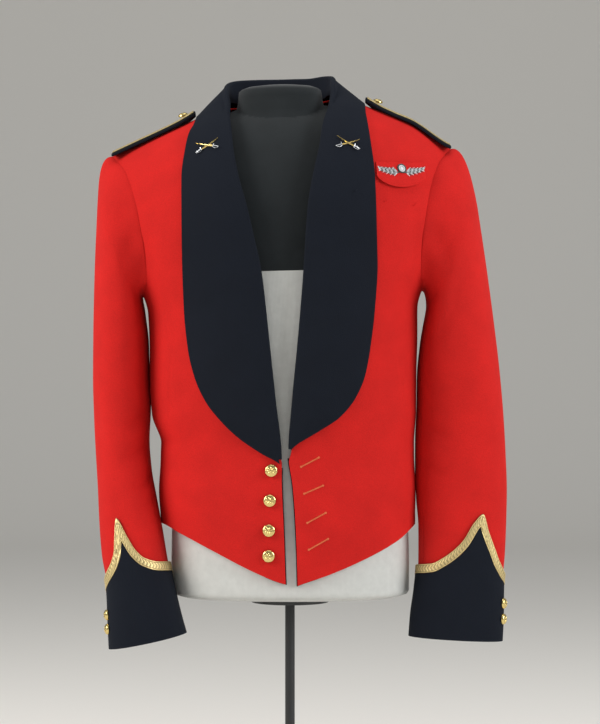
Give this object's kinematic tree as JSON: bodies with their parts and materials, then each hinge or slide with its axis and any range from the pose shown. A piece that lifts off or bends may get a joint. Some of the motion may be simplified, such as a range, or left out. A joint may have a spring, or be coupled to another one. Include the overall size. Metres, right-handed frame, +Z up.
{
  "type": "mess jacket on a dress form",
  "caption": "Waist-length scarlet mess jacket with a navy shawl collar, pointed laced cuffs and shoulder boards, worn open on a limbless dress form with a pole and round base.",
  "frame": {"origin": "middle of the underside of the stand's round base, on the floor under the form's middle", "axes": "+X to the wearer's left, -Y out of the chest, +Z up"},
  "size_m": [0.5549, 0.3, 1.0095],
  "materials": {
    "scarlet_wool": "milled scarlet wool, matt, with a short nap",
    "navy_wool": "dark navy wool, matt",
    "gold_lace": "woven gold lace, soft metallic shine",
    "gilt_metal": "polished gilt",
    "badge_metal": "gilt blades and silvered hilts",
    "badge_thread": "silver and dark green embroidery",
    "form_linen": "plain pale linen",
    "form_cover": "black jersey, matt",
    "stand_steel": "dark satin paint"
  },
  "bodies": {
    "root": {"front_right": "scarlet_wool", "back_right": "scarlet_wool", "front_left": "scarlet_wool", "back_left": "scarlet_wool", "sleeve_top_right": "scarlet_wool", "sleeve_under_right": "scarlet_wool", "sleeve_top_left": "scarlet_wool", "sleeve_under_left": "scarlet_wool", "cuff_right": "navy_wool", "cuff_lace_right": "gold_lace", "cuff_button_right_1": "gilt_metal", "cuff_button_right_2": "gilt_metal", "cuff_left": "navy_wool", "cuff_lace_left": "gold_lace", "cuff_button_left_1": "gilt_metal", "cuff_button_left_2": "gilt_metal", "collar_right": "navy_wool", "collar_left": "navy_wool", "facing_right": "navy_wool", "facing_left": "navy_wool", "front_button_1": "gilt_metal", "front_button_2": "gilt_metal", "front_button_3": "gilt_metal", "front_button_4": "gilt_metal", "lapel_badge_right": "badge_metal", "lapel_badge_left": "badge_metal", "breast_patch": "scarlet_wool", "breast_badge": "badge_thread", "board_right": "navy_wool", "board_lace_front_right": "gold_lace", "board_lace_back_right": "gold_lace", "board_button_right": "gilt_metal", "board_left": "navy_wool", "board_lace_front_left": "gold_lace", "board_lace_back_left": "gold_lace", "board_button_left": "gilt_metal", "form_torso": "form_linen", "form_cover": "form_cover", "stand_flange": "stand_steel", "stand_pole": "stand_steel", "stand_base": "stand_steel"}
  },
  "joints": []
}
